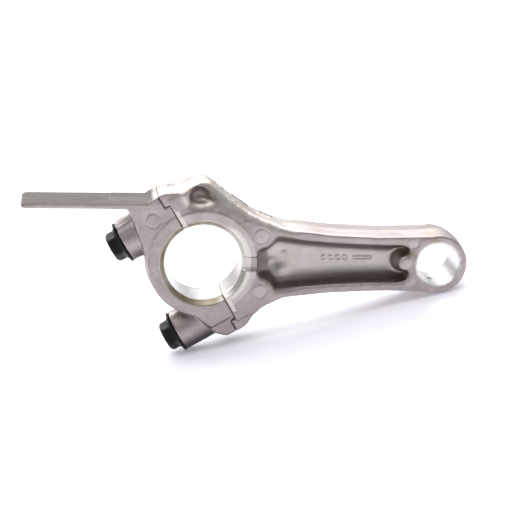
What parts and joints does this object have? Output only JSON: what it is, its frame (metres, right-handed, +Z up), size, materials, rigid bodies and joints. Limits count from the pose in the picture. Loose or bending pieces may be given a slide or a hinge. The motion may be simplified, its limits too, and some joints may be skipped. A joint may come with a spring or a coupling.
{
  "type": "engine connecting rod",
  "caption": "Die-cast aluminium engine connecting rod with an obliquely split big end, flange-bolted bearing cap and a long flat oil dipper blade.",
  "frame": {"origin": "centre of the crankpin bore, half way through its width", "axes": "+Y along both bores, +Z up with the rod standing on edge on a level floor, +X towards the piston-pin end, which lies lower"},
  "size_m": [0.1949, 0.024, 0.09],
  "materials": {
    "cast_aluminium": "as die-cast, machined bores and lands",
    "black_oxide_steel": "black oxide, satin"
  },
  "bodies": {
    "rod": {"rod_body": "cast_aluminium"},
    "cap": {"bearing_cap": "cast_aluminium"},
    "bolt_upper": {"bolt_upper": "black_oxide_steel"},
    "bolt_lower": {"bolt_lower": "black_oxide_steel"}
  },
  "joints": [
    {"name": "bolt_upper_turn", "type": "hinge", "parent": "cap", "child": "bolt_upper", "pos_m": [-0.03308, 0, 0.01603], "axis": [-0.9615, 0, -0.2746], "range_deg": [0, 3744.01]},
    {"name": "bolt_lower_turn", "type": "hinge", "parent": "cap", "child": "bolt_lower", "pos_m": [-0.01923, 0, -0.03243], "axis": [-0.9615, 0, -0.2746], "range_deg": [0, 3744.01]},
    {"name": "cap_lift", "type": "slide", "parent": "rod", "child": "cap", "axis": [-0.9615, 0, -0.2746], "range_m": [0, 0.013]}
  ],
  "couplings": [
    {"joint": "bolt_upper_turn", "follows": "cap_lift", "rad_per_m": 5026.5},
    {"joint": "bolt_lower_turn", "follows": "cap_lift", "rad_per_m": 5026.5}
  ]
}
